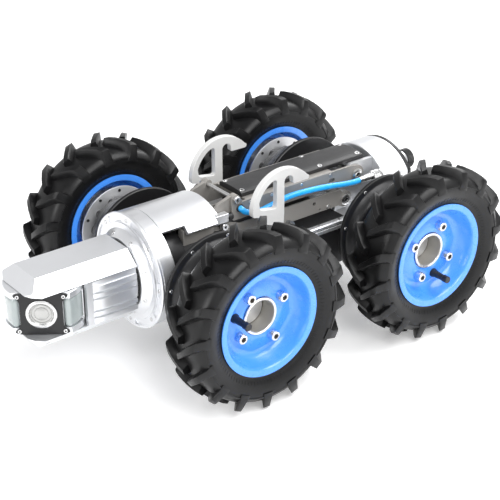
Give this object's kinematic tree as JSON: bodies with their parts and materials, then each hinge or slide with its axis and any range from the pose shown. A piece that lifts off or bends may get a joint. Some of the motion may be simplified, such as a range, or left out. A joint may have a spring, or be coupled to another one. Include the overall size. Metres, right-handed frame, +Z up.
{
  "type": "pipe inspection crawler",
  "caption": "Four-wheel-drive pipe inspection crawler with lugged tyres, a parallelogram camera lift and a roll-and-pan camera head.",
  "frame": {"origin": "on the ground under the centre of the whole vehicle's bounding box", "axes": "+X forward to the camera, +Y to the vehicle's left, +Z up"},
  "size_m": [1.037, 0.642, 0.387],
  "materials": {
    "tyre_rubber": "matte moulded tread rubber, near black",
    "belt_rubber": "matte black toothed belt",
    "blue_paint": "glossy blue powder coat",
    "white_paint": "semi-gloss off-white paint",
    "zinc_steel": "zinc-plated steel",
    "bright_aluminium": "satin machined and clear anodised",
    "grey_anodised": "warm dark grey anodising, satin",
    "black_anodised": "black satin coating",
    "black_plastic": "matte black cover",
    "cable_jacket": "cyan-blue smooth polyurethane jacket",
    "clear_glass": "clear port glass over dark optics or lamps"
  },
  "bodies": {
    "chassis": {"chassis_tub": "black_anodised", "chassis_lid": "bright_aluminium", "drive_motor_left": "zinc_steel", "drive_motor_right": "zinc_steel", "drive_belt_left": "belt_rubber", "drive_belt_right": "belt_rubber", "final_drive_front_left": "black_anodised", "final_drive_front_right": "black_anodised", "final_drive_rear_left": "black_anodised", "final_drive_rear_right": "black_anodised", "rear_housing": "bright_aluminium", "rear_plate": "black_anodised", "tether_socket": "bright_aluminium", "tether_cap": "black_plastic", "hook_left": "white_paint", "hook_right": "white_paint", "lift_bracket_left": "bright_aluminium", "lift_bracket_right": "bright_aluminium", "rear_upper_pin": "zinc_steel", "rear_lower_pin": "zinc_steel", "cable_connector": "zinc_steel"},
    "wheel_front_left": {"tyre_front_left": "tyre_rubber", "rim_front_left": "blue_paint", "hub_front_left": "zinc_steel", "drive_flange_front_left": "bright_aluminium"},
    "wheel_front_right": {"tyre_front_right": "tyre_rubber", "rim_front_right": "blue_paint", "hub_front_right": "zinc_steel", "drive_flange_front_right": "bright_aluminium"},
    "wheel_rear_left": {"tyre_rear_left": "tyre_rubber", "rim_rear_left": "blue_paint", "hub_rear_left": "zinc_steel", "drive_flange_rear_left": "bright_aluminium"},
    "wheel_rear_right": {"tyre_rear_right": "tyre_rubber", "rim_rear_right": "blue_paint", "hub_rear_right": "zinc_steel", "drive_flange_rear_right": "bright_aluminium"},
    "upper_arm": {"upper_arm_left": "grey_anodised", "upper_arm_right": "grey_anodised", "upper_arm_web": "grey_anodised", "arm_cover": "black_plastic", "lift_gearmotor": "zinc_steel", "signal_cable": "cable_jacket"},
    "lower_arm": {"lower_arm_left": "grey_anodised", "lower_arm_right": "grey_anodised", "lower_arm_spacer": "zinc_steel"},
    "carrier": {"camera_flange": "bright_aluminium", "carrier_shell": "bright_aluminium", "roll_motor_housing": "black_anodised", "carrier_frame": "grey_anodised", "front_upper_pin": "zinc_steel", "front_lower_pin": "zinc_steel", "roll_bearing": "zinc_steel"},
    "camera_head": {"camera_head": "bright_aluminium"},
    "camera_drum": {"drum_body": "bright_aluminium", "drum_face_plate": "black_anodised", "camera_lens": "clear_glass", "lamp_window_left": "clear_glass", "lamp_window_right": "clear_glass"}
  },
  "joints": [
    {"name": "wheel_spin_front_left", "type": "hinge", "parent": "chassis", "child": "wheel_front_left", "pos_m": [0.131, 0.269, 0.18919], "axis": [0, 1, 0], "continuous": true},
    {"name": "wheel_spin_front_right", "type": "hinge", "parent": "chassis", "child": "wheel_front_right", "pos_m": [0.131, -0.269, 0.18919], "axis": [0, 1, 0], "continuous": true},
    {"name": "wheel_spin_rear_left", "type": "hinge", "parent": "chassis", "child": "wheel_rear_left", "pos_m": [-0.316, 0.269, 0.18919], "axis": [0, 1, 0], "continuous": true},
    {"name": "wheel_spin_rear_right", "type": "hinge", "parent": "chassis", "child": "wheel_rear_right", "pos_m": [-0.316, -0.269, 0.18919], "axis": [0, 1, 0], "continuous": true},
    {"name": "lift", "type": "hinge", "parent": "chassis", "child": "upper_arm", "pos_m": [-0.3075, 0, 0.28899], "axis": [0, -1, 0], "range_deg": [0, 50]},
    {"name": "lower_arm_pivot", "type": "hinge", "parent": "chassis", "child": "lower_arm", "pos_m": [-0.2765, 0, 0.23799], "axis": [0, -1, 0], "range_deg": [0, 50]},
    {"name": "carrier_level", "type": "hinge", "parent": "upper_arm", "child": "carrier", "pos_m": [0.02, 0, 0.32099], "axis": [0, -1, 0], "range_deg": [-50, 0]},
    {"name": "camera_roll", "type": "hinge", "parent": "carrier", "child": "camera_head", "pos_m": [0.2475, 0, 0.20999], "axis": [1, 0, 0], "continuous": true},
    {"name": "camera_pan", "type": "hinge", "parent": "camera_head", "child": "camera_drum", "pos_m": [0.4405, 0, 0.20999], "axis": [0, 0, 1], "range_deg": [-174, 66]}
  ],
  "couplings": [
    {"joint": "wheel_spin_rear_left", "follows": "wheel_spin_front_left", "ratio": 1},
    {"joint": "wheel_spin_rear_right", "follows": "wheel_spin_front_right", "ratio": 1},
    {"joint": "lower_arm_pivot", "follows": "lift", "ratio": 1},
    {"joint": "carrier_level", "follows": "lift", "ratio": -1}
  ]
}
